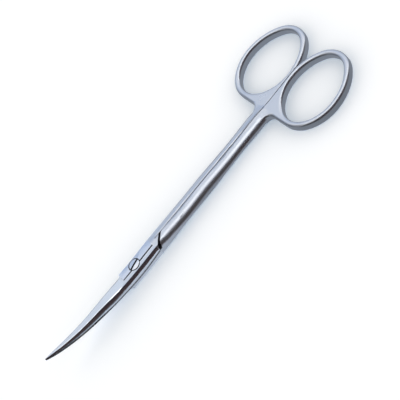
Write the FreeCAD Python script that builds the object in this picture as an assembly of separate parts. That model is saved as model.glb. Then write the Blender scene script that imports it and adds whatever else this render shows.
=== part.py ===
import FreeCAD, Part
import math
import os

# Curved dissecting scissors with a screw joint, all sizes in millimetres.
# The origin is on the pivot axis, in the plane that the closed scissors rest on.
# X runs from the tips to the finger rings, Z is the pivot axis, and the blades curve towards +Z.
# Both halves share one outer form. The upper half has the upper blade and the ring on +Y.

# Lengths along the scissors, from the pivot axis
blade_length = 34.7
handle_length = 79.4
shank_start = 9.0
shank_settled = 15.0

# Joint, where the two halves cross
joint_width = 6.0
joint_top = 4.1
rest_plane = 0.0
ridge_height = 1.8
ridge_inset_ratio = 0.45
ridge_side_angle = 38.0
shoulder_reach = 11.3
shoulder_middle = (9.2, 1.78)
shoulder_end = (6.9, 4.1)
shoulder_gap = 0.5

# Parting face between the blades: flat round the screw, then rising at a slope, then curving up to the tips
lap_height = 2.0
lap_flat_radius = 3.4
blade_slope = 4.9
blade_curve_start = 16.0
blade_curve_radius = 66.5

# Blade
edge_overhang = 0.3
edge_land = 0.12
ridge_land = 0.14
grind_start = 6.3
grind_wheel_radius = 1.3
grind_over = 0.6

# Shank
shank_width = 6.6
waist_share = 0.62
waist_width = 6.3
neck_width = 5.5
neck_height = 2.95
shank_underside = 0.05
shank_end_reach = 2.1

# Finger rings
ring_thickness = 2.75
ring_hole_width = 17.6
ring_hole_near = 9.9
ring_hole_far = 11.3
ring_stock = 1.8
ring_edge_radius = 0.87
ring_seam_stock = 1.25
ring_lean = 3.0
web_radius = 2.2

# Flat milled round the screw head
milled_depth = 0.16
milled_near_side = 0.8
milled_from = -5.1
milled_to = 7.3

# Pivot screw
head_radius = 1.75
head_height = 1.0
head_proud = 0.1
head_crown = 0.12
head_edge = 0.12
slot_width = 0.42
slot_depth = 0.5
slot_angle = 12.5
bearing_radius = 1.15
thread_radius = 0.95
thread_end_edge = 0.1

# Clearances
lap_gap = 0.08
seam_gap = 0.1
seam_round = 0.22
head_gap = 0.1
bearing_gap = 0.04
head_float = 0.05
thread_gap = 0.01

# Space that the cutting bodies reach past the scissors
past = 8.0

# Blade stations: share of the blade's length, of the joint's half width and of the ridge's height
BLADE_STATIONS = [
    (1.00, 0.085, 0.205),
    (0.97, 0.175, 0.27),
    (0.93, 0.28, 0.365),
    (0.86, 0.40, 0.47),
    (0.76, 0.53, 0.595),
    (0.62, 0.68, 0.755),
    (0.46, 0.84, 0.92),
    (0.31, 0.96, 1.0),
    (0.17, 0.995, 1.0),
]


def point(x, y, z):
    return FreeCAD.Vector(x, y, z)


def bezier(poles):
    curve = Part.BezierCurve()
    curve.setPoles(poles)
    return curve.toShape()


def loft(sections, ruled=False):
    return Part.makeLoft(sections, True, ruled)


def box(low, high):
    size = high - low
    return Part.makeBox(size.x, size.y, size.z, low)


# Rise of the parting face at a distance from the pivot axis
def lap_rise(distance):
    slope = math.radians(blade_slope)
    rise = max(min(distance, blade_curve_start) - lap_flat_radius, 0.0) * math.tan(slope)
    if distance > blade_curve_start:
        run = distance - blade_curve_start + blade_curve_radius * math.sin(slope)
        rise += blade_curve_radius * math.cos(slope) - math.sqrt(blade_curve_radius ** 2 - run ** 2)
    return rise


joint_underside = 2 * lap_height - joint_top
ring_centre_x = handle_length - ring_stock - ring_hole_far
ring_centre_y = ring_seam_stock + ring_hole_width / 2
neck_x = ring_centre_x - ring_hole_near - ring_stock


# Top and underside of the outer form along the joint and the shanks
def crown_height(x):
    if x <= shank_start:
        return joint_top
    share = min((x - shank_start) / (neck_x - shank_start), 1.0)
    return joint_top + (neck_height - joint_top) * share


def underside_height(x):
    if x <= shank_start:
        return joint_underside
    share = min((x - shank_start) / (shank_settled - shank_start), 1.0)
    smooth = share * share * (3 - 2 * share)
    return joint_underside + (shank_underside - joint_underside) * smooth


# A section's wire from its upper and lower curves. hand is 1 for the upper half and -1 for the lower half,
# which is the same form turned half a turn about the middle line.
def section_wire(x, middle, hand, upper_poles, lower_poles):
    edges = []
    for poles in upper_poles + lower_poles:
        edges.append(bezier([point(x, hand * y, middle + hand * z) for y, z in poles]))
    return Part.Wire(edges)


# Run and rise of the crown's curve beside the ridge. The crown's middle lies three quarters of the rise higher.
def crown_swell(width, ridge):
    run = 0.34 * (width - 2 * ridge_inset_ratio * ridge)
    rise = (joint_top - lap_height - ridge_height) / 0.75 * ridge / ridge_height
    return run, rise


# Section of blade and joint: a convex back, a ridge, and a slightly crowned top
def ridged_section(x, middle, hand, back, edge, ridge):
    inset = ridge_inset_ratio * ridge
    side = math.radians(ridge_side_angle)
    reach = 0.352 * math.hypot(inset, ridge)
    lift_y = math.cos(side) * reach
    lift_z = math.sin(side) * reach
    swell_y, swell_z = crown_swell(back + edge, ridge)
    near = inset - back
    far = edge - inset
    upper = [
        [(-back, 0.0), (-back, reach), (near - lift_y, ridge - lift_z), (near, ridge)],
        [(near, ridge), (near + swell_y, ridge + swell_z), (far - swell_y, ridge + swell_z), (far, ridge)],
        [(far, ridge), (far + lift_y, ridge - lift_z), (edge, reach), (edge, 0.0)],
    ]
    lower = [[(y, -z) for y, z in reversed(poles)] for poles in reversed(upper)]
    return section_wire(x, middle, hand, upper, lower)


# Elliptical section of the shanks, split at the same places as the ridged one
def oval_section(x, middle, hand, half_width, half_height):
    upper = []
    turns = [math.pi, 0.75 * math.pi, 0.25 * math.pi, 0.0]
    for start, end in zip(turns, turns[1:]):
        reach = 4.0 / 3.0 * math.tan((start - end) / 4)
        ends = []
        for turn, way in ((start, 1), (end, -1)):
            place = (half_width * math.cos(turn), half_height * math.sin(turn))
            slope = (half_width * math.sin(turn), -half_height * math.cos(turn))
            ends.append(place)
            ends.append((place[0] + way * reach * slope[0], place[1] + way * reach * slope[1]))
        upper.append([ends[0], ends[1], ends[3], ends[2]])
    lower = [[(y, -z) for y, z in reversed(poles)] for poles in reversed(upper)]
    return section_wire(x, middle, hand, upper, lower)


# Outer form of one half from the tip to the neck, with both shanks' width
def outer_form(hand):
    half_joint = joint_width / 2
    sections = []
    for share, width_share, ridge_share in BLADE_STATIONS:
        x = -share * blade_length
        edge = width_share * half_joint
        back = edge - edge_overhang * min(1.0, edge / half_joint * 2, (1 - width_share) * 8)
        middle = lap_height + lap_rise(-x)
        sections.append(ridged_section(x, middle, hand, back, edge, ridge_share * ridge_height))
    for x in (0.0, 0.5 * shank_start, 0.85 * shank_start):
        sections.append(ridged_section(x, lap_height, hand, half_joint, half_joint, ridge_height))
    waist_x = waist_share * neck_x
    widths = [
        (shank_settled, shank_width),
        (0.5 * (shank_settled + waist_x), 0.5 * (shank_width + waist_width)),
        (waist_x, waist_width),
        (0.5 * (waist_x + neck_x), 0.6 * waist_width + 0.4 * neck_width),
        (neck_x, neck_width),
    ]
    for x, width in widths:
        top = crown_height(x)
        bottom = underside_height(x)
        sections.append(oval_section(x, (top + bottom) / 2, hand, width / 2, (top - bottom) / 2))
    middle = (neck_height + shank_underside) / 2
    for share in (0.4, 0.7, 0.88, 0.97):
        scale = math.sqrt(1 - share ** 2)
        x = neck_x + share * shank_end_reach
        half_height = scale * (neck_height - shank_underside) / 2
        sections.append(oval_section(x, middle, hand, scale * neck_width / 2, half_height))
    return loft(sections)


# Body on one side of the parting face, to cut away what belongs to the other half
def beyond_lap(hand):
    def on_face(distance):
        return point(distance, 0, lap_height + hand * lap_gap / 2 + lap_rise(distance))

    end = blade_length + past
    far = lap_height - hand * 3 * past
    flat_end = on_face(lap_flat_radius)
    curve_start = on_face(blade_curve_start)
    curve = Part.Arc(curve_start, on_face((blade_curve_start + end) / 2), on_face(end)).toShape()
    corners = [on_face(end), point(end, 0, far), point(0, 0, far), on_face(0), flat_end, curve_start]
    outline = Part.Wire([curve] + Part.makePolygon(corners).Edges)
    return Part.Face(outline).revolve(point(0, 0, 0), point(0, 0, 1), 360)


# Edge in plan of the shoulder where a shank begins, moved along X by half the gap
def shoulder_edge(side, shift):
    start = point(shoulder_reach + shift, 0, 0)
    middle = point(shoulder_middle[0] + shift, side * shoulder_middle[1], 0)
    end = point(shoulder_end[0] + shift, side * shoulder_end[1], 0)
    return Part.Arc(start, middle, end).toShape()


# Body that takes the other half's shank out of the outer form
def other_shank(hand):
    seam = hand * seam_gap / 2
    shoulder = shoulder_edge(-hand, -shoulder_gap / 2)
    start = shoulder.Vertexes[0].Point
    end = shoulder.Vertexes[1].Point
    far = handle_length + past
    side = -hand * 3 * past
    corners = [end, point(end.x, side, 0), point(far, side, 0), point(far, seam, 0), point(start.x, seam, 0), start]
    outline = Part.Wire([shoulder] + Part.makePolygon(corners).Edges)
    solid = Part.Face(outline).extrude(point(0, 0, 4 * past))
    solid.translate(point(0, 0, -2 * past))
    return solid


# Body that takes the other half's joint out, up to this half's own shoulder
def other_joint(hand):
    shoulder = shoulder_edge(hand, shoulder_gap / 2)
    start = shoulder.Vertexes[0].Point
    end = shoulder.Vertexes[1].Point
    side = hand * 3 * past
    far = -blade_length - past
    corners = [end, point(end.x, side, 0), point(far, side, 0), point(far, -side, 0), point(start.x, -side, 0), start]
    outline = Part.Wire([shoulder] + Part.makePolygon(corners).Edges)
    solid = Part.Face(outline).extrude(point(0, 0, 4 * past))
    solid.translate(point(0, 0, -2 * past))
    return solid.common(beyond_lap(hand))


# Outline of the grinding body across the blade, from the ridge down to the cutting edge and past both
def grind_section(hand, x, edge, ridge, lift):
    slimness = min(1.0, edge / joint_width * 4)
    land = ridge_land * slimness
    inner_y = edge_overhang * slimness - edge + ridge_inset_ratio * ridge + land
    run, rise = crown_swell(2 * edge, ridge)
    inner_z = ridge + land * rise / run
    slope = (edge_land - inner_z) / (edge - inner_y)
    middle = lap_height + lap_rise(-x) + hand * lift
    outline = [(inner_y - grind_over, inner_z - slope * grind_over),
               (edge + grind_over, edge_land + slope * grind_over),
               (edge + grind_over, past), (inner_y - grind_over, past)]
    corners = [point(x, hand * y, middle + hand * z) for y, z in outline]
    return Part.makePolygon(corners + corners[:1])


# Bodies that grind the flat bevel along the blade, and run it out at the joint with the wheel's radius
def bevel_grind(hand):
    half_joint = joint_width / 2
    tip_share, tip_width, tip_ridge = BLADE_STATIONS[0]
    blade = [(tip_share + 1.0 / blade_length, tip_width, tip_ridge)] + BLADE_STATIONS[:-1]
    blade.append((grind_start / blade_length, 1.0, 1.0))
    blade_wires = []
    for index, station in enumerate(blade):
        between = [(low + high) / 2 for low, high in zip(blade[max(index - 1, 0)], station)]
        for share, width_share, ridge_share in (between, station)[0 if index else 1:]:
            x = -share * blade_length
            blade_wires.append(grind_section(hand, x, width_share * half_joint, ridge_share * ridge_height, 0.0))
    end_wires = []
    for share in (0.0, 0.35, 0.6, 0.8, 0.93, 1.0):
        x = -grind_start + share * grind_wheel_radius
        lift = grind_wheel_radius * (1 - math.sqrt(1 - share ** 2))
        end_wires.append(grind_section(hand, x, half_joint, ridge_height, lift))
    return loft(blade_wires, ruled=True), loft(end_wires)


# Turns a shape made on the ring's own axes, and moves it to the ring on +Y, which leans towards the seam
def at_ring(shape):
    shape.rotate(point(0, 0, 0), point(0, 0, 1), -ring_lean)
    shape.translate(point(ring_centre_x, ring_centre_y, 0))
    return shape


# Opening of the ring as six tangent arcs, each with its centre, radius and turns, from the place nearest the seam.
# Each end has the radius of an ellipse's end, and the sides' radius follows from being tangent to it.
def egg_arcs():
    half = ring_hole_width / 2
    turns = []
    ends = []
    sides = []
    for length in (ring_hole_far, ring_hole_near):
        end = half ** 2 / length
        side = ((length - end) ** 2 + half ** 2 - end ** 2) / (2 * (half - end))
        turns.append(math.atan2((side - half) / (side - end), (length - end) / (side - end)))
        ends.append((length - end, end))
        sides.append((side - half, side))
    quarter = math.pi / 2
    far_turn, near_turn = turns
    return [
        (point(0, sides[0][0], 0), sides[0][1], -quarter, -far_turn),
        (point(ends[0][0], 0, 0), ends[0][1], -far_turn, far_turn),
        (point(0, -sides[0][0], 0), sides[0][1], far_turn, quarter),
        (point(0, -sides[1][0], 0), sides[1][1], quarter, math.pi - near_turn),
        (point(-ends[1][0], 0, 0), ends[1][1], math.pi - near_turn, math.pi + near_turn),
        (point(0, sides[1][0], 0), sides[1][1], math.pi + near_turn, math.pi + quarter),
    ]


# Place on one of those arcs at a turn, with stock outside the opening
def on_arc(arc, stock, turn):
    centre, radius, start, end = arc
    reach = radius + stock
    return centre + point(reach * math.cos(turn), reach * math.sin(turn), 0)


# Section of the ring's stock outside a radius, its four corners rounded
def stock_section(radius):
    near = radius
    far = radius + ring_stock
    top = ring_thickness
    bend = ring_edge_radius
    soft = 0.4477 * bend
    corners = [(near, 0, 1, 1), (far, 0, -1, 1), (far, top, -1, -1), (near, top, 1, -1)]
    edges = []
    ends = []
    for x, z, way_x, way_z in corners:
        flat = point(x + way_x * bend, 0, z)
        upright = point(x, 0, z + way_z * bend)
        edges.append(bezier([flat, point(x + way_x * soft, 0, z), point(x, 0, z + way_z * soft), upright]))
        ends.append((flat, upright))
    edges.append(Part.makeLine(ends[0][0], ends[1][0]))
    edges.append(Part.makeLine(ends[1][1], ends[2][1]))
    edges.append(Part.makeLine(ends[2][0], ends[3][0]))
    edges.append(Part.makeLine(ends[3][1], ends[0][1]))
    return Part.Face(Part.Wire(Part.__sortEdges__(edges)))


# Web between shank and ring: it reaches to the middle of the ring's stock, with a hollow corner at the shank
def ring_web():
    near_arc = egg_arcs()[4]
    lowest_arc = egg_arcs()[0]
    centre = at_ring(Part.Vertex(near_arc[0])).Point
    corner = centre - point(near_arc[1] + ring_stock, 0, 0)
    lowest = at_ring(Part.Vertex(on_arc(lowest_arc, ring_stock, lowest_arc[2]))).Point
    side = neck_width / 2
    hollow_end = point(corner.x, side + web_radius, 0)
    hollow_start = point(corner.x - web_radius, side, 0)
    bend = web_radius * math.sqrt(0.5)
    hollow = Part.Arc(hollow_end, point(hollow_start.x + bend, hollow_end.y - bend, 0), hollow_start).toShape()
    heel = point(hollow_start.x, -past, 0)
    corners = [hollow_start, heel, point(lowest.x, -past, 0), lowest, centre, corner, hollow_end]
    outline = Part.Wire([hollow] + Part.makePolygon(corners).Edges)
    arcs = []
    for arc in egg_arcs():
        start, end = arc[2:]
        places = [on_arc(arc, ring_stock / 2, turn) for turn in (start, (start + end) / 2, end)]
        arcs.append(Part.Arc(*places).toShape())
    inside = Part.Face(at_ring(Part.Wire(arcs)))
    web = Part.Face(outline).cut(inside).Faces[0].extrude(point(0, 0, ring_thickness))
    rounded = []
    for edge in web.Edges:
        level = edge.BoundBox.ZLength < 0.01
        beside_shank = edge.BoundBox.XMax < corner.x + 0.01 and edge.BoundBox.YMin > 0
        if level and beside_shank:
            rounded.append(edge)
    return web.makeFillet(ring_edge_radius, rounded)


# Finger ring with its web
def finger_ring(side):
    segments = []
    for centre, radius, start, end in egg_arcs():
        segment = stock_section(radius).revolve(point(0, 0, 0), point(0, 0, 1), math.degrees(end - start))
        segment.rotate(point(0, 0, 0), point(0, 0, 1), math.degrees(start))
        segment.translate(centre)
        segments.append(at_ring(segment))
    ring = segments[0].multiFuse(segments[1:] + [ring_web()])
    beyond_seam = box(point(-past, -4 * past, -past), point(handle_length + past, seam_gap / 2, past))
    ring = ring.cut(beyond_seam)
    if side < 0:
        ring = ring.mirror(point(0, 0, 0), point(0, 1, 0))
    return ring


# Body that rounds the two edges at the seam, along the top or the underside
def seam_rounding(way):
    half_gap = seam_gap / 2
    seam_end = ring_centre_x + ring_hole_far
    wires = []
    web_start = neck_x + shank_end_reach
    for x in (shank_start, shoulder_reach - 1.0, shank_settled, neck_x, web_start, seam_end):
        surface = crown_height(x) if way > 0 else underside_height(x)
        if x >= web_start:
            surface = ring_thickness if way > 0 else rest_plane
        outer = half_gap + seam_round
        top = surface + way * seam_round
        low = surface - way * seam_round
        left = bezier([point(x, -outer, surface), point(x, -half_gap, surface), point(x, -half_gap, low)])
        right = bezier([point(x, half_gap, low), point(x, half_gap, surface), point(x, outer, surface)])
        corners = [point(x, outer, surface), point(x, outer, top), point(x, -outer, top), point(x, -outer, surface)]
        bottom = Part.makeLine(point(x, -half_gap, low), point(x, half_gap, low))
        wires.append(Part.Wire([left, bottom, right] + Part.makePolygon(corners).Edges))
    return loft(wires, ruled=True)


# One half: outer form, less the other half's share, with its ring
def forged_half(hand):
    body = outer_form(hand)
    body = body.cut(other_shank(hand))
    body = body.cut(other_joint(hand))
    body = body.fuse(finger_ring(hand))
    for wheel_path in bevel_grind(hand):
        body = body.cut(wheel_path)
    below = box(point(-blade_length - past, -3 * past, -2 * past), point(handle_length + past, 3 * past, rest_plane))
    body = body.cut(below)
    body = body.cut(seam_rounding(1))
    body = body.cut(seam_rounding(-1))
    return body


head_top = joint_top - milled_depth + head_proud
head_seat = head_top - head_height


def upper_half():
    body = forged_half(1)
    floor = joint_top - milled_depth
    body = body.cut(box(point(milled_from, -milled_near_side, floor), point(milled_to, joint_width, floor + past)))
    well = Part.makeCylinder(head_radius + head_gap, past, point(0, 0, head_seat - head_float))
    bore = Part.makeCylinder(bearing_radius + bearing_gap, 2 * past, point(0, 0, -past))
    return body.cut(well).cut(bore)


def lower_half():
    body = forged_half(-1)
    hole = Part.makeCylinder(thread_radius + thread_gap, 2 * past, point(0, 0, -past))
    return body.cut(hole)


# Screw turned from one bar: crowned slotted head, plain bearing and threaded end dressed flush
def pivot_screw():
    lap_top = lap_height - lap_gap / 2
    rim = head_top - head_crown
    radius = head_radius
    crown = Part.Arc(point(0, 0, head_top), point(radius * 0.5, 0, head_top - head_crown * 0.25),
                     point(radius - head_edge, 0, rim + head_edge * 0.5)).toShape()
    corners = [point(radius - head_edge, 0, rim + head_edge * 0.5), point(radius, 0, rim - head_edge * 0.5),
               point(radius, 0, head_seat), point(bearing_radius, 0, head_seat), point(bearing_radius, 0, lap_top),
               point(thread_radius, 0, lap_top), point(thread_radius, 0, rest_plane + thread_end_edge),
               point(thread_radius - thread_end_edge, 0, rest_plane), point(0, 0, rest_plane), point(0, 0, head_top)]
    outline = Part.Wire([crown] + Part.makePolygon(corners).Edges)
    screw = Part.Face(outline).revolve(point(0, 0, 0), point(0, 0, 1), 360)
    slot = box(point(-2 * radius, -slot_width / 2, head_top - slot_depth), point(2 * radius, slot_width / 2, head_top + 1))
    slot.rotate(point(0, 0, 0), point(0, 0, 1), slot_angle)
    return screw.cut(slot)


os.makedirs("parts", exist_ok=True)
for name, shape in (("upper_half", upper_half()), ("lower_half", lower_half()), ("pivot_screw", pivot_screw())):
    solid = shape.Solids[0]
    print(name, len(shape.Solids), solid.isValid(), round(solid.Volume, 3), len(solid.Faces))
    solid.exportStep("parts/" + name + ".step")
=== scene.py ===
import math

import bmesh
import bpy
import numpy as np
from bpy.props import FloatProperty, FloatVectorProperty, PointerProperty
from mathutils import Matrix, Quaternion, Vector
from mathutils.geometry import intersect_point_line


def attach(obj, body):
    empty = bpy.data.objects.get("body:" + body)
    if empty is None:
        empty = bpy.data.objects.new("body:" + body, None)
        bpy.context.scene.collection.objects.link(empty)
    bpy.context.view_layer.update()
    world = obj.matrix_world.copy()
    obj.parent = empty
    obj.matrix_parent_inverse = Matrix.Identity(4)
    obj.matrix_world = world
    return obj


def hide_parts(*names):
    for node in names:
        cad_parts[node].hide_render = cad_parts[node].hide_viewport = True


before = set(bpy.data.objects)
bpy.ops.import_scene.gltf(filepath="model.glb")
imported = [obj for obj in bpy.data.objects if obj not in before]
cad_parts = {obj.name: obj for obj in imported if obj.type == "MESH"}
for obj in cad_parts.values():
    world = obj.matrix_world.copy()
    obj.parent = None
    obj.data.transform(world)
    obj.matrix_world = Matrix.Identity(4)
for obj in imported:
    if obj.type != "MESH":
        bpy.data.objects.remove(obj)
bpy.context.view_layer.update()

bl_info = {
    "name": "Curved dissecting scissors",
    "version": (1, 0, 0),
    "blender": (4, 5, 0),
    "location": "View3D > Sidebar > Scissors",
    "description": "Finishes the two forged halves and their pivot screw, and sets them on a studio table",
    "category": "Object",
}

MM = 0.001

# Satin stainless steel: neutral grey with a trace of blue
SATIN_HEX = "B9BDC4"
# Mirror-polished stainless steel: a little lighter and cleaner
POLISHED_HEX = "C9CCD2"
# Ground stainless steel on the faces where the halves meet
GROUND_HEX = "B4B8BE"
# Dark steel colour painted into the gaps, the slot and the screw's well as painted shade
PAINTED_SHADE_HEX = "38363A"
# White laminate of the table
FLOOR_HEX = "F2F3F5"
# Warm low light that falls on the table, and the cool light that fills its shadows
DAYLIGHT_HEX = "FFF7EE"
FILL_HEX = "46657C"
# Table as the steel reflects it
GLEAM_HEX = "E9F2FF"
# The room, as the camera sees it and as the steel throws it on the table
ROOM_HEX = "FFFFFF"

# Parting face between the halves, turned about the pivot: flat, then a slope, then an arc up to the tips
LAP_BASE = 2.0 * MM
LAP_FLAT = 3.4 * MM
LAP_SLOPE = math.radians(4.9)
LAP_CURVE_START = 16.0 * MM
LAP_RADIUS = 66.5 * MM
BLADE_REACH = 36 * MM

# Corners of the narrow gap where the joint meets the other half's shank, given for the side of positive y
SHOULDER = [Vector((11.3 * MM, 0)), Vector((9.2 * MM, 1.78 * MM)), Vector((6.9 * MM, 4.1 * MM))]

# The screw's slot and head, and the well round the head
SLOT_TURN = math.radians(12.5)
SLOT_HALF_WIDTH = 0.22 * MM
SLOT_FLOOR = 3.4 * MM
HEAD_RIM = 3.85 * MM
HEAD_SIDE = 1.7 * MM
WELL_REACH = 1.9 * MM

# Painted shade lines in the gaps. A pair gives the middle of a line and half its width or length.
PARTING_SHADE = 0.18 * MM
SLOT_SHADE = (0.0, 0.32 * MM)
SLOT_SHADE_REACH = 1.8 * MM
RIM_SHADE = (1.82 * MM, 0.13 * MM)
HEAD_SHADE_FLOOR = 3.3 * MM
STEP_SHADE = (-0.83 * MM, 0.3 * MM)
STEP_SHADE_SPAN = (1.1 * MM, 6.2 * MM)
STEP_SHADE_FLOOR = 3.8 * MM
SHOULDER_SHADE = (0.0, 0.36 * MM)
SHOULDER_SHADE_START = -0.1 * MM

# Range that holds nearly all the values of a noise texture, and the depth of the steels' bumps
NOISE_SPAN = (0.3, 0.7)
BUMP_DEPTH = 0.01 * MM

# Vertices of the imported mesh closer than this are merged, edges shorter than this dissolved, and edges with a
# larger angle than this are sharp
MERGE_REACH = 0.006 * MM
SHORT_EDGE = 0.01 * MM
SHARP_ANGLE = math.radians(26)


def linear(code):
    values = []
    for place in (0, 2, 4):
        value = int(code[place:place + 2], 16) / 255
        values.append(value / 12.92 if value <= 0.04045 else ((value + 0.055) / 1.055) ** 2.4)
    return tuple(values)


class ScissorsFinish(bpy.types.PropertyGroup):
    satin_colour: FloatVectorProperty(
        name="Satin steel", description="Colour of the satin shanks and finger rings",
        subtype="COLOR", size=3, min=0, max=1, default=linear(SATIN_HEX))
    polished_colour: FloatVectorProperty(
        name="Polished steel", description="Colour of the polished blades, joint and screw",
        subtype="COLOR", size=3, min=0, max=1, default=linear(POLISHED_HEX))
    ground_colour: FloatVectorProperty(
        name="Ground steel", description="Colour of the ground faces between the halves",
        subtype="COLOR", size=3, min=0, max=1, default=linear(GROUND_HEX))
    # Colour of the painted shade in the gaps, the slot and the screw's well
    painted_shade_colour: FloatVectorProperty(
        name="Painted shade", description="Colour of the steel inside the gaps and the slot",
        subtype="COLOR", size=3, min=0, max=1, default=linear(PAINTED_SHADE_HEX))
    satin_roughness: FloatProperty(
        name="Satin roughness", description="Roughness of the brushed satin finish",
        subtype="FACTOR", min=0, max=1, default=0.3)
    polished_end: FloatProperty(
        name="End of the polish", description="Distance from the pivot to the line where the polish ends",
        subtype="DISTANCE", unit="LENGTH", default=7.4 * MM)
    grain_size: FloatProperty(
        name="Satin grain", description="Width of the satin grain, drawn coarse enough to show",
        subtype="DISTANCE", unit="LENGTH", default=0.12 * MM)


class ScissorsStage(bpy.types.PropertyGroup):
    distance: FloatProperty(
        name="Camera distance", description="From the camera to the place that it looks at",
        subtype="DISTANCE", unit="LENGTH", default=397.9 * MM)
    elevation: FloatProperty(
        name="Elevation", description="Angle of the view above the table",
        subtype="ANGLE", unit="ROTATION", default=math.radians(43.14))
    azimuth: FloatProperty(
        name="Azimuth", description="Turn of the camera round the scissors",
        subtype="ANGLE", unit="ROTATION", default=math.radians(-0.68))
    roll: FloatProperty(
        name="Roll", description="Turn of the picture, which sets the scissors on the slant",
        subtype="ANGLE", unit="ROTATION", default=math.radians(50.98))
    lens: FloatProperty(
        name="Lens", description="Focal length on a sensor 36 mm wide",
        subtype="DISTANCE_CAMERA", unit="CAMERA", min=10, max=500, default=131.1)
    aim: FloatVectorProperty(
        name="Aim", description="Place at the middle of the picture",
        subtype="XYZ", unit="LENGTH", size=3, default=(24.83 * MM, 0, -0.27 * MM))
    floor_colour: FloatVectorProperty(
        name="Table", description="Colour of the table top",
        subtype="COLOR", size=3, min=0, max=1, default=linear(FLOOR_HEX))
    floor_reach: FloatProperty(
        name="Table size", description="Half the width of the table top",
        subtype="DISTANCE", unit="LENGTH", default=3.0)


# Adds one node, with its settings and with its inputs as values or links
def add_node(tree, kind, inputs=None, **settings):
    node = tree.nodes.new(kind)
    for name, value in settings.items():
        setattr(node, name, value)
    for key, value in (inputs or {}).items():
        if isinstance(value, bpy.types.NodeSocket):
            tree.links.new(value, node.inputs[key])
        else:
            node.inputs[key].default_value = value
    return node


def add_math(tree, operation, *values):
    return add_node(tree, "ShaderNodeMath", dict(enumerate(values)), operation=operation).outputs["Value"]


# Joins two or more values with one operation: MULTIPLY is "all of them" and MAXIMUM "any of them"
def add_joined(tree, operation, first, *others):
    for other in others:
        first = add_math(tree, operation, first, other)
    return first


# Maps a value in a straight line from one range to another, and holds it at the ends
def add_range(tree, value, source, target):
    return add_node(tree, "ShaderNodeMapRange", {
        "Value": value, "From Min": source[0], "From Max": source[1],
        "To Min": target[0], "To Max": target[1]}).outputs["Result"]


def add_mix(tree, share, first, second):
    return add_node(tree, "ShaderNodeMixShader", {0: share, 1: first, 2: second}).outputs["Shader"]


# Axes of one kind of coordinates
def add_axes(tree, kind):
    place = add_node(tree, "ShaderNodeTexCoord")
    return add_node(tree, "ShaderNodeSeparateXYZ", {"Vector": place.outputs[kind]}).outputs


# 1 for rays that have met no diffuse surface since they left the camera, and 0 for others
def add_direct(tree, rays):
    return add_math(tree, "LESS_THAN", rays.outputs["Diffuse Depth"], 0.5)


# Height of the parting face at a distance from the pivot
def lap_height(distance):
    distance = min(distance, BLADE_REACH)
    height = LAP_BASE + max(min(distance, LAP_CURVE_START) - LAP_FLAT, 0.0) * math.tan(LAP_SLOPE)
    if distance > LAP_CURVE_START:
        run = distance - LAP_CURVE_START + LAP_RADIUS * math.sin(LAP_SLOPE)
        height += LAP_RADIUS * math.cos(LAP_SLOPE) - math.sqrt(LAP_RADIUS ** 2 - run ** 2)
    return height


# The same height in a material. The curve node goes from 0 to 1 both ways, so it works in shares.
def add_lap_height(tree, distance):
    top = 10 * MM
    share = add_math(tree, "DIVIDE", distance, BLADE_REACH)
    curve = add_node(tree, "ShaderNodeFloatCurve", {"Value": share})
    points = curve.mapping.curves[0].points
    points[0].location = (0, lap_height(0) / top)
    points[1].location = (1, lap_height(BLADE_REACH) / top)
    stations = (LAP_FLAT, LAP_CURVE_START, 20 * MM, 24 * MM, 28 * MM, 32 * MM)
    for station in stations:
        points.new(station / BLADE_REACH, lap_height(station) / top)
    for point in points:
        point.handle_type = "VECTOR"
    curve.mapping.update()
    return add_math(tree, "MULTIPLY", curve.outputs["Value"], top)


# Painted shade in the gaps, as a share of 0 or 1 by Object coordinates: the line where the halves meet from
# the tip to the joint, the rim and the slot of the screw head, the step beside the milled flat, and the
# shoulders
def painted_shade_share(tree, place, finish):
    def near(value, middle, reach):
        return add_math(tree, "COMPARE", value, middle, reach)

    def over(value, limit):
        return add_math(tree, "GREATER_THAN", value, limit)

    def under(value, limit):
        return add_math(tree, "LESS_THAN", value, limit)

    def all_of(*shares):
        return add_joined(tree, "MULTIPLY", *shares)

    def dot(first, factor, second, other_factor):
        return add_math(tree, "ADD", add_math(tree, "MULTIPLY", first, factor),
                        add_math(tree, "MULTIPLY", second, other_factor))

    axes = add_node(tree, "ShaderNodeSeparateXYZ", {"Vector": place}).outputs
    x, y, z = axes["X"], axes["Y"], axes["Z"]
    flat = add_node(tree, "ShaderNodeCombineXYZ", {"X": x, "Y": y}).outputs["Vector"]
    distance = add_node(tree, "ShaderNodeVectorMath", {0: flat}, operation="LENGTH").outputs["Value"]
    parting = add_lap_height(tree, distance)
    line = all_of(near(z, parting, PARTING_SHADE), under(x, finish.polished_end))

    across_slot = dot(y, math.cos(SLOT_TURN), x, -math.sin(SLOT_TURN))
    slot = all_of(near(across_slot, *SLOT_SHADE), under(distance, SLOT_SHADE_REACH))
    head = all_of(add_math(tree, "MAXIMUM", slot, near(distance, *RIM_SHADE)), over(z, HEAD_SHADE_FLOOR))

    step = all_of(near(y, *STEP_SHADE), near(x, *STEP_SHADE_SPAN),
                  over(distance, WELL_REACH), over(z, STEP_SHADE_FLOOR))

    # On top a shoulder is on the side of negative y, and below it is on the other side
    side = add_math(tree, "SIGN", add_math(tree, "SUBTRACT", parting, z))
    outward = add_math(tree, "MULTIPLY", side, y)
    gaps = []
    for start, end in zip(SHOULDER, SHOULDER[1:]):
        along = (end - start).normalized()
        across = Vector((along.y, -along.x))
        gaps.append(add_math(tree, "SUBTRACT", dot(x, across.x, outward, across.y), start.dot(across)))
    gap = all_of(near(add_math(tree, "MINIMUM", *gaps), *SHOULDER_SHADE), over(outward, SHOULDER_SHADE_START))
    return add_joined(tree, "MAXIMUM", line, head, gap, step)


# A steel's colour with painted shade in the gaps. Inputs 6 and 7 and output 2 of the mix node are those for
# colours.
def painted_shade_colour(tree, place, colour, finish):
    mix = add_node(tree, "ShaderNodeMix", {
        0: painted_shade_share(tree, place, finish), 6: (*colour, 1), 7: (*finish.painted_shade_colour, 1)}, data_type="RGBA")
    return mix.outputs[2]


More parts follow.
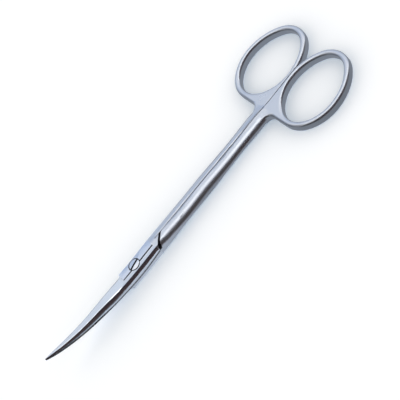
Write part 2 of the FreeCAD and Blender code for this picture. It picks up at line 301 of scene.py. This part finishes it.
# Bare metal of a colour and a roughness, with a bump where a height is given, as the surface of the material
def add_metal(tree, colour, rough, height=None, strength=0.0):
    inputs = {"Base Color": colour, "Metallic": 1.0, "Roughness": rough}
    if height is not None:
        inputs["Normal"] = add_node(tree, "ShaderNodeBump", {
            "Height": height, "Strength": strength, "Distance": BUMP_DEPTH}).outputs["Normal"]
    steel = add_node(tree, "ShaderNodeBsdfPrincipled", inputs)
    add_node(tree, "ShaderNodeOutputMaterial", {"Surface": steel.outputs["BSDF"]})


# Noise drawn out into lines: its length along each axis
def add_lines(tree, place, lengths, detail):
    drawn = add_node(tree, "ShaderNodeMapping", {
        "Vector": place, "Scale": [1 / length for length in lengths]})
    return add_node(tree, "ShaderNodeTexNoise", {
        "Vector": drawn.outputs["Vector"], "Scale": 1.0, "Detail": detail}).outputs["Fac"]


# Satin stainless steel, brushed and then glass-bead blasted: a soft even sheen with a fine grain,
# slight cloudiness from handling, and painted shade in the gaps
def satin_steel(tree, place, finish):
    grain = add_node(tree, "ShaderNodeTexNoise", {
        "Vector": place, "Scale": 1 / finish.grain_size, "Detail": 2.0, "Roughness": 0.6})
    cloud = add_node(tree, "ShaderNodeTexNoise", {
        "Vector": place, "Scale": 1 / (9 * MM), "Detail": 3.0, "Roughness": 0.55})
    middle, spread = finish.satin_roughness, 0.03
    rough = add_range(tree, cloud.outputs["Fac"], NOISE_SPAN, (middle - spread, middle + spread))
    colour = painted_shade_colour(tree, place, finish.satin_colour, finish)
    add_metal(tree, colour, rough, height=grain.outputs["Fac"], strength=0.12)


# Stainless steel polished on a buffing wheel: a bright mirror with faint lines from the wheel,
# and painted shade in the gaps
def polished_steel(tree, place, finish):
    lines = add_lines(tree, place, (4 * MM, 0.15 * MM, 0.15 * MM), detail=3.0)
    rough = add_range(tree, lines, NOISE_SPAN, (0.1, 0.16))
    add_metal(tree, painted_shade_colour(tree, place, finish.polished_colour, finish), rough)


# Stainless steel left from the grinding wheel: fine parallel lines across the scissors
def ground_steel(tree, place, finish):
    lines = add_lines(tree, place, (0.1 * MM, 5 * MM, 5 * MM), detail=4.0)
    rough = add_range(tree, lines, NOISE_SPAN, (0.22, 0.34))
    add_metal(tree, (*finish.ground_colour, 1), rough, height=lines, strength=0.08)


# Painted shade: dark steel on the faces inside the narrow gaps, the screw's slot and the well round its head
def painted_shade_steel(tree, place, finish):
    mottle = add_node(tree, "ShaderNodeTexNoise", {"Vector": place, "Scale": 1 / (0.4 * MM), "Detail": 2.0})
    rough = add_range(tree, mottle.outputs["Fac"], NOISE_SPAN, (0.35, 0.5))
    add_metal(tree, (*finish.painted_shade_colour, 1), rough)


# Place of each steel in the list, and its name with the function that builds it
SATIN, POLISHED, GROUND, PAINTED_SHADE = range(4)
STEELS = (
    ("satin_stainless_steel", satin_steel),
    ("mirror_polished_stainless_steel", polished_steel),
    ("ground_stainless_steel", ground_steel),
    # Painted shade for the gaps, the slot and the screw's well
    ("steel_with_painted_shade", painted_shade_steel),
)


def empty_material(name):
    material = bpy.data.materials.new(name)
    material.use_nodes = True
    material.node_tree.nodes.clear()
    return material


def steel_materials():
    materials = []
    for name, build in STEELS:
        material = bpy.data.materials.get(name)
        if material is None:
            material = empty_material(name)
            place = add_node(material.node_tree, "ShaderNodeTexCoord").outputs["Object"]
            build(material.node_tree, place, bpy.context.scene.scissors_finish)
        materials.append(material)
    return materials


# Merged copy of a CAD node, cut where asked, with its smooth faces shaded smooth
def merged_copy(node, name, cuts=()):
    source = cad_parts[node]
    mesh = bpy.data.meshes.new(name)
    shape = bmesh.new()
    shape.from_mesh(source.data)
    bmesh.ops.remove_doubles(shape, verts=shape.verts, dist=MERGE_REACH)
    bmesh.ops.dissolve_degenerate(shape, edges=shape.edges, dist=SHORT_EDGE)
    for place, normal in cuts:
        geometry = shape.verts[:] + shape.edges[:] + shape.faces[:]
        bmesh.ops.bisect_plane(shape, geom=geometry, plane_co=place, plane_no=normal)
    for face in shape.faces:
        face.smooth = True
    for edge in shape.edges:
        edge.smooth = len(edge.link_faces) == 2 and edge.calc_face_angle(0) < SHARP_ANGLE
    shape.to_mesh(mesh)
    shape.free()
    piece = bpy.data.objects.new(name, mesh)
    bpy.context.scene.collection.objects.link(piece)
    return piece


# Belt sanding leaves a shank's curves even along its length, so its shading normals are evened out along x,
# at the same place round the section. That fades in from the first distance to the second, and out from the
# third to the fourth.
SANDED = (9.0 * MM, 12 * MM, 46 * MM, 49 * MM)
# Samples are taken a little farther at both ends, and within this distance from the middle of the scissors
SAMPLED = (SANDED[0] - 4 * MM, SANDED[3] + 2 * MM)
SAMPLED_HALF_WIDTH = 4 * MM
# They go into columns along x and steps round the section. A triangle gives one for each point of a grid
# that has this many parts to a side.
COLUMN = 0.5 * MM
SECTION_STEPS = 240
TRIANGLE_PARTS = 8
# Reach of the smoothing: in columns for the section's extent and the normals, and in steps for the normals
EXTENT_WIDTH = 3.0
LENGTHWISE_WIDTH = 9 * MM / COLUMN
ROUND_WIDTH = 1.2


# Weights that fall off from each step to the others, in a row or on a round trip
def bell(steps, width, round_trip=False):
    apart = np.abs(np.arange(steps)[:, None] - np.arange(steps)[None, :])
    if round_trip:
        apart = np.minimum(apart, steps - apart)
    return np.exp(-0.5 * (apart / width) ** 2)


# Places and normals spread evenly over triangles, given both at their corners, and each triangle's area
def sampled_triangles(corners, normals):
    parts = TRIANGLE_PARTS
    shares = np.array([(i, j, parts - i - j) for i in range(parts + 1) for j in range(parts + 1 - i)]) / parts
    spots = np.einsum("sk,tkc->tsc", shares, corners).reshape(-1, 3)
    turned = np.einsum("sk,tkc->tsc", shares, normals).reshape(-1, 3)
    areas = np.linalg.norm(np.cross(corners[:, 1] - corners[:, 0], corners[:, 2] - corners[:, 0]), axis=1)
    areas = np.repeat(areas, len(shares))
    first, last = SAMPLED
    inside = (spots[:, 0] > first) & (spots[:, 0] < last) & (np.abs(spots[:, 1]) < SAMPLED_HALF_WIDTH)
    return spots[inside], turned[inside], areas[inside]


def even_shank(mesh):
    mesh.calc_loop_triangles()
    normals = np.array([corner.vector for corner in mesh.corner_normals])
    places = np.array([mesh.vertices[loop.vertex_index].co for loop in mesh.loops])
    outer = np.array([triangle.loops for triangle in mesh.loop_triangles
                      if mesh.polygons[triangle.polygon_index].material_index in (SATIN, POLISHED)])
    spots, turned, areas = sampled_triangles(places[outer], normals[outer])

    # Half the width and the height of the section in each column, which place a point round the section
    first, last = SAMPLED
    columns = int((last - first) / COLUMN)
    column = ((spots[:, 0] - first) / COLUMN).astype(int).clip(0, columns - 1)
    extent = np.zeros((2, columns))
    np.maximum.at(extent[0], column, np.abs(spots[:, 1]))
    np.maximum.at(extent[1], column, spots[:, 2])
    along = bell(columns, EXTENT_WIDTH)
    along /= along.sum(axis=1, keepdims=True)
    extent = extent @ along.T

    # Column and step of a place, by its angle round the middle of its half of the section
    def on_grid(points):
        at = ((points[:, 0] - first) / COLUMN - 0.5).clip(0, columns - 1)
        wide, high = (np.interp(at, np.arange(columns), row) for row in extent)
        turn = np.arctan2(points[:, 2] / high - 0.5, np.abs(points[:, 1]) / wide - 0.5)
        return at, (turn / (2 * math.pi) % 1) * SECTION_STEPS

    # Samples gathered in the grid and evened out
    at, turn = on_grid(spots)
    total = np.zeros((SECTION_STEPS, columns, 3))
    cell = (turn.astype(int) % SECTION_STEPS, at.round().astype(int))
    np.add.at(total, cell, turned * areas[:, None])
    total = np.einsum("ab,bxc->axc", bell(SECTION_STEPS, ROUND_WIDTH, True), total)
    total = np.einsum("xy,ayc->axc", bell(columns, LENGTHWISE_WIDTH), total)
    total /= np.linalg.norm(total, axis=2, keepdims=True) + 1e-12

    # Even normals read back at the corners of the mesh and mixed with its own
    chosen = np.unique(outer)
    chosen = chosen[(places[chosen, 0] > SANDED[0]) & (places[chosen, 0] < SANDED[3])]
    at, turn = on_grid(places[chosen])
    low, share = turn.astype(int), (turn - turn.astype(int))[:, None]
    column = at.round().astype(int)
    even = total[low % SECTION_STEPS, column] * (1 - share) + total[(low + 1) % SECTION_STEPS, column] * share
    weight = np.interp(places[chosen, 0], SANDED, (0, 1, 1, 0))[:, None]
    mixed = normals[chosen] * (1 - weight) + even * weight
    normals[chosen] = mixed / np.linalg.norm(mixed, axis=1, keepdims=True)
    mesh.normals_split_custom_set(normals.tolist())


# A face is beside the shoulder gap when it is this near to one of the gap's lines, and this share of a line's
# length past its ends still counts
SHOULDER_REACH = 0.33 * MM
SHOULDER_EXCESS = 0.1


def beside_shoulder(centre):
    place = Vector((centre.x, abs(centre.y)))
    for start, end in zip(SHOULDER, SHOULDER[1:]):
        foot, share = intersect_point_line(place, start, end)
        if -SHOULDER_EXCESS < share < 1 + SHOULDER_EXCESS and (foot.xy - place).length < SHOULDER_REACH:
            return True
    return False


# A face is part of the lap or the seam where it lies this near to it and faces this squarely
LAP_REACH, LAP_FACING = 0.07 * MM, 0.8
SEAM_REACH, SEAM_FACING = 0.06 * MM, 0.99
# A wall leans no more than this, and a wall of the shoulder gap faces this squarely across the gap
UPRIGHT_TILT = 0.1
WALL_X, WALL_Y, WALL_FACING = 0.68, 0.73, 0.93


# Steel that a face of a half shows. Ground faces are those of the parting line: the lap between the blades
# and the seam between the shanks. Faces that line the shoulder gap and the screw's well get painted shade.
def steel_of_face(face, hand, polished_end):
    centre, normal = face.center, face.normal
    reach = math.hypot(centre.x, centre.y)
    lap = normal.z * hand < -LAP_FACING and abs(centre.z - lap_height(reach)) < LAP_REACH
    seam = normal.y * hand < -SEAM_FACING and abs(centre.y) < SEAM_REACH
    upright = abs(normal.z) < UPRIGHT_TILT
    facing = normal.x * WALL_X + math.copysign(normal.y, normal.y * centre.y) * WALL_Y
    wall = upright and abs(facing) > WALL_FACING
    # Painted shade on the faces of the shoulder gap and of the screw's well
    if ((lap or wall) and beside_shoulder(centre)) or (upright and reach < WELL_REACH):
        return PAINTED_SHADE
    if lap or seam:
        return GROUND
    return POLISHED if centre.x < polished_end else SATIN


# Finished copy of a half's node. The hand is 1 for the upper half and -1 for the lower one.
def finish_half(node, name, hand):
    polished_end = bpy.context.scene.scissors_finish.polished_end
    piece = merged_copy(node, name, [((polished_end, 0, 0), (1, 0, 0))])
    for material in steel_materials():
        piece.data.materials.append(material)
    for face in piece.data.polygons:
        face.material_index = steel_of_face(face, hand, polished_end)
    weigh = piece.modifiers.new("weigh_normals", "WEIGHTED_NORMAL")
    weigh.keep_sharp = True
    weigh.mode = "FACE_AREA_WITH_ANGLE"
    shaded = piece.evaluated_get(bpy.context.evaluated_depsgraph_get())
    piece.data = bpy.data.meshes.new_from_object(shaded)
    piece.modifiers.clear()
    even_shank(piece.data)
    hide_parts(node)
    return piece


class SCISSORS_OT_upper_half(bpy.types.Operator):
    """Finish the upper half, which carries the upper blade"""
    bl_idname = "scissors.upper_half"
    bl_label = "Upper half"

    def execute(self, context):
        piece = finish_half("upper_half", "upper_half_finished", 1)
        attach(piece, "upper")
        return {"FINISHED"}


class SCISSORS_OT_lower_half(bpy.types.Operator):
    """Finish the lower half, which holds the screw"""
    bl_idname = "scissors.lower_half"
    bl_label = "Lower half"

    def execute(self, context):
        piece = finish_half("lower_half", "lower_half_finished", -1)
        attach(piece, "lower")
        return {"FINISHED"}


class SCISSORS_OT_pivot_screw(bpy.types.Operator):
    """Finish the pivot screw"""
    bl_idname = "scissors.pivot_screw"
    bl_label = "Pivot screw"

    def execute(self, context):
        piece = merged_copy("pivot_screw", "pivot_screw_finished")
        steels = steel_materials()
        piece.data.materials.append(steels[POLISHED])
        piece.data.materials.append(steels[PAINTED_SHADE])
        for face in piece.data.polygons:
            x, y, z = face.center
            across = y * math.cos(SLOT_TURN) - x * math.sin(SLOT_TURN)
            in_slot = abs(across) < SLOT_HALF_WIDTH and z > SLOT_FLOOR
            # Painted shade on the slot and on the side of the head below its rim
            if z < HEAD_RIM and (in_slot or math.hypot(x, y) > HEAD_SIDE):
                face.material_index = 1
        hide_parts("pivot_screw")
        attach(piece, "lower")
        return {"FINISHED"}


# White table top that keeps the soft shadow and has a cool fill light of its own. Steel that reflects it into
# the camera sees a plain glow instead. Its strength differs by the blades, by the joint and by the rings,
# because the scissors shade more or less there of the table that they reflect.
def table_material(colour):
    material = empty_material("white_laminate_table")
    tree = material.node_tree
    rays = add_node(tree, "ShaderNodeLightPath")
    top = add_node(tree, "ShaderNodeBsdfDiffuse", {"Color": (*colour, 1)})
    fill = add_node(tree, "ShaderNodeEmission", {"Color": (*linear(FILL_HEX), 1), "Strength": 1.0})
    lit = add_node(tree, "ShaderNodeAddShader", {0: top.outputs["BSDF"], 1: fill.outputs["Emission"]})
    axes = add_axes(tree, "Object")
    x, y = axes["X"], axes["Y"]
    by_rings = add_range(tree, y, (-24 * MM, -4 * MM), (0.36, 0.46))
    by_joint = add_range(tree, y, (-30 * MM, -4 * MM), (1.15, 0.82))
    by_blades = add_range(tree, y, (-20 * MM, -8 * MM), (0.12, 1.1))
    ahead = add_range(tree, x, (-14 * MM, -5 * MM), (by_blades, by_joint))
    strength = add_range(tree, x, (8 * MM, 25 * MM), (ahead, by_rings))
    glow = add_node(tree, "ShaderNodeEmission", {"Color": (*linear(GLEAM_HEX), 1), "Strength": strength})
    glossy = add_math(tree, "MULTIPLY", rays.outputs["Is Glossy Ray"], add_direct(tree, rays))
    surface = add_mix(tree, glossy, lit.outputs["Shader"], glow.outputs["Emission"])
    add_node(tree, "ShaderNodeOutputMaterial", {"Surface": surface})
    return material


# Light round the table as the steel reflects it: angle from straight overhead, positive on the camera's side,
# colour and level
SKY = [
    (-100, "EAF3FF", 1.2),
    (-78, "EAF3FF", 1.2),
    (-60, "C9DAF6", 1.0),
    (-50, "CCDCF6", 1.2),
    (-42, "FFFFFF", 1.5),
    (-34, "FFFFFF", 1.5),
    (-27, "D6DEEA", 1.35),
    (-17, "D6DEEA", 1.35),
    (-11, "FFFFFF", 2.5),
    (0, "FFFFFF", 2.5),
    (10, "8A90A0", 1.0),
    (21, "38333A", 1.0),
    (84, "463638", 1.0),
    (100, "8C8078", 1.0),
]
# The room is darker to the left of the table: strengths at two values of a direction's x
LEFT_SPAN, LEFT_STRENGTH = (-0.75, -0.2), (0.22, 1.0)
# Strength of the light that falls on the table, level with it and from straight overhead
DAYLIGHT_STRENGTH = (3.27, 0.0)
# What the steel throws on the table is plain and weak, for the shade round the scissors to stay even
THROWN_STRENGTH = 0.35


def add_background(tree, colour, strength):
    return add_node(tree, "ShaderNodeBackground", {
        "Color": colour, "Strength": strength}).outputs["Background"]


def studio_world():
    world = bpy.data.worlds.new("soft_studio")
    world.use_nodes = True
    tree = world.node_tree
    tree.nodes.clear()
    axes = add_axes(tree, "Generated")
    angle = add_math(tree, "ARCTAN2", add_math(tree, "MULTIPLY", axes["Y"], -1.0), axes["Z"])
    first, last = SKY[0][0], SKY[-1][0]
    share = add_range(tree, angle, (math.radians(first), math.radians(last)), (0.0, 1.0))
    ramp = add_node(tree, "ShaderNodeValToRGB", {"Fac": share})
    stops = ramp.color_ramp.elements
    while len(stops) < len(SKY):
        stops.new(0.5)
    for stop, (turn, code, level) in zip(stops, SKY):
        stop.position = (turn - first) / (last - first)
        stop.color = (*[level * value for value in linear(code)], 1)
    from_left = add_range(tree, axes["X"], LEFT_SPAN, LEFT_STRENGTH)
    studio = add_background(tree, ramp.outputs["Color"], from_left)
    low_light = add_range(tree, axes["Z"], (0.0, 1.0), DAYLIGHT_STRENGTH)
    daylight = add_background(tree, (*linear(DAYLIGHT_HEX), 1), low_light)
    white = (*linear(ROOM_HEX), 1)
    thrown = add_background(tree, white, THROWN_STRENGTH)
    room = add_background(tree, white, 1.0)

    # The steel sees the studio, the table the daylight, and the camera a plain white room
    rays = add_node(tree, "ShaderNodeLightPath")
    glossy = add_mix(tree, add_direct(tree, rays), thrown, studio)
    lighting = add_mix(tree, rays.outputs["Is Glossy Ray"], daylight, glossy)
    shown = add_mix(tree, rays.outputs["Is Camera Ray"], lighting, room)
    add_node(tree, "ShaderNodeOutputWorld", {"Surface": shown})
    return world


SENSOR_WIDTH = 36.0
CLIP_START, CLIP_END = 0.01, 20


def place_camera(stage):
    away = Vector((
        math.sin(stage.azimuth) * math.cos(stage.elevation),
        -math.cos(stage.azimuth) * math.cos(stage.elevation),
        math.sin(stage.elevation)))
    data = bpy.data.cameras.new("photographer")
    data.sensor_width = SENSOR_WIDTH
    data.lens = stage.lens
    data.clip_start = CLIP_START
    data.clip_end = CLIP_END
    camera = bpy.data.objects.new("photographer", data)
    camera.location = Vector(stage.aim) + away * stage.distance
    camera.rotation_mode = "QUATERNION"
    camera.rotation_quaternion = (-away).to_track_quat("-Z", "Y") @ Quaternion((0, 0, 1), -stage.roll)
    bpy.context.scene.collection.objects.link(camera)
    bpy.context.scene.camera = camera


# The table is this far below the lowest faces, so that the two never lie in one plane
TABLE_GAP = 0.02 * MM


class SCISSORS_OT_stage(bpy.types.Operator):
    """Set the table, the soft light and the camera"""
    bl_idname = "scissors.stage"
    bl_label = "Table, light and camera"

    def execute(self, context):
        stage = context.scene.scissors_stage
        mesh = bpy.data.meshes.new("table")
        reach = stage.floor_reach
        corners = [(x * reach, y * reach, -TABLE_GAP) for x, y in ((-1, -1), (1, -1), (1, 1), (-1, 1))]
        mesh.from_pydata(corners, [], [(0, 1, 2, 3)])
        mesh.materials.append(table_material(stage.floor_colour))
        table = bpy.data.objects.new("table", mesh)
        context.scene.collection.objects.link(table)
        context.scene.world = studio_world()
        place_camera(stage)
        context.scene.view_settings.view_transform = "Standard"
        return {"FINISHED"}


class SCISSORS_PT_panel(bpy.types.Panel):
    """Lists the operators in the order that they are run"""
    bl_idname = "SCISSORS_PT_panel"
    bl_label = "Scissors"
    bl_space_type = "VIEW_3D"
    bl_region_type = "UI"
    bl_category = "Scissors"

    def draw(self, context):
        for operator in OPERATORS:
            self.layout.operator(operator.bl_idname)


OPERATORS = (SCISSORS_OT_upper_half, SCISSORS_OT_lower_half, SCISSORS_OT_pivot_screw, SCISSORS_OT_stage)
CLASSES = (ScissorsFinish, ScissorsStage, *OPERATORS, SCISSORS_PT_panel)


def register():
    for item in CLASSES:
        bpy.utils.register_class(item)
    bpy.types.Scene.scissors_finish = PointerProperty(type=ScissorsFinish)
    bpy.types.Scene.scissors_stage = PointerProperty(type=ScissorsStage)


def unregister():
    del bpy.types.Scene.scissors_stage
    del bpy.types.Scene.scissors_finish
    for item in reversed(CLASSES):
        bpy.utils.unregister_class(item)


def main():
    register()
    bpy.ops.scissors.upper_half()
    bpy.ops.scissors.lower_half()
    bpy.ops.scissors.pivot_screw()
    bpy.ops.scissors.stage()


if __name__ == "__main__":
    main()
